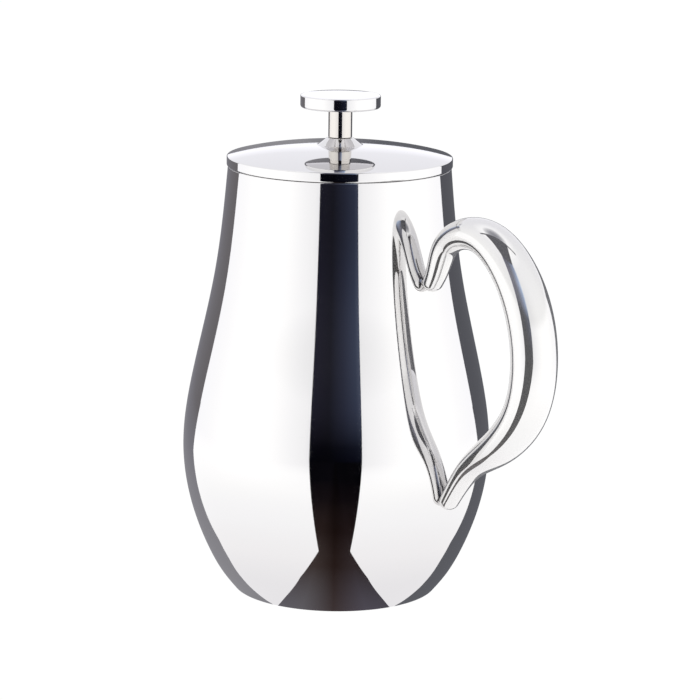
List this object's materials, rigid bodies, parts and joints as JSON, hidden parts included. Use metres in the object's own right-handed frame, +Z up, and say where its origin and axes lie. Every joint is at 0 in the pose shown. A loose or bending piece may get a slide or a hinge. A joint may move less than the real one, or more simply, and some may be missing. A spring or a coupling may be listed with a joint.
{
  "type": "french press",
  "caption": "Double-wall polished steel coffee press: pear-shaped pot with a curved tube handle, domed lid, and a plunger with a flat round knob and a sprung mesh filter.",
  "frame": {"origin": "centre of the flat base, on the plane the pot stands on", "axes": "+Z up along the pot's axis, +X towards the handle, -X towards the pour lip"},
  "size_m": [0.2111, 0.1488, 0.2412],
  "materials": {
    "polished_steel": "mirror polished stainless steel",
    "steel_wire": "drawn stainless wire, bright",
    "nylon": "natural nylon"
  },
  "bodies": {
    "pot": {"outer_shell": "polished_steel", "inner_liner": "polished_steel", "base_plate": "polished_steel", "base_vent_plug": "polished_steel", "handle": "polished_steel"},
    "lid": {"lid_cover": "polished_steel", "lid_insert": "polished_steel", "lid_skirt": "polished_steel", "neck_sleeve": "polished_steel"},
    "bush": {"guide_bush": "nylon", "bush_clip": "steel_wire"},
    "plunger": {"knob": "polished_steel", "knob_stem": "polished_steel", "plunger_rod": "polished_steel", "rod_collar": "polished_steel", "spring_plate": "polished_steel", "edge_spring": "steel_wire", "mesh_screen": "steel_wire", "cross_plate": "polished_steel", "hub_nut": "polished_steel"}
  },
  "joints": [
    {"name": "lid_lift", "type": "slide", "parent": "pot", "child": "lid", "axis": [0, 0, 1], "range_m": [0, 0.23]},
    {"name": "plunger_turn", "type": "hinge", "parent": "lid", "child": "bush", "pos_m": [0, 0, 0.2], "axis": [0, 0, 1], "continuous": true},
    {"name": "plunger_slide", "type": "slide", "parent": "bush", "child": "plunger", "axis": [0, 0, 1], "range_m": [0, 0.147]}
  ]
}
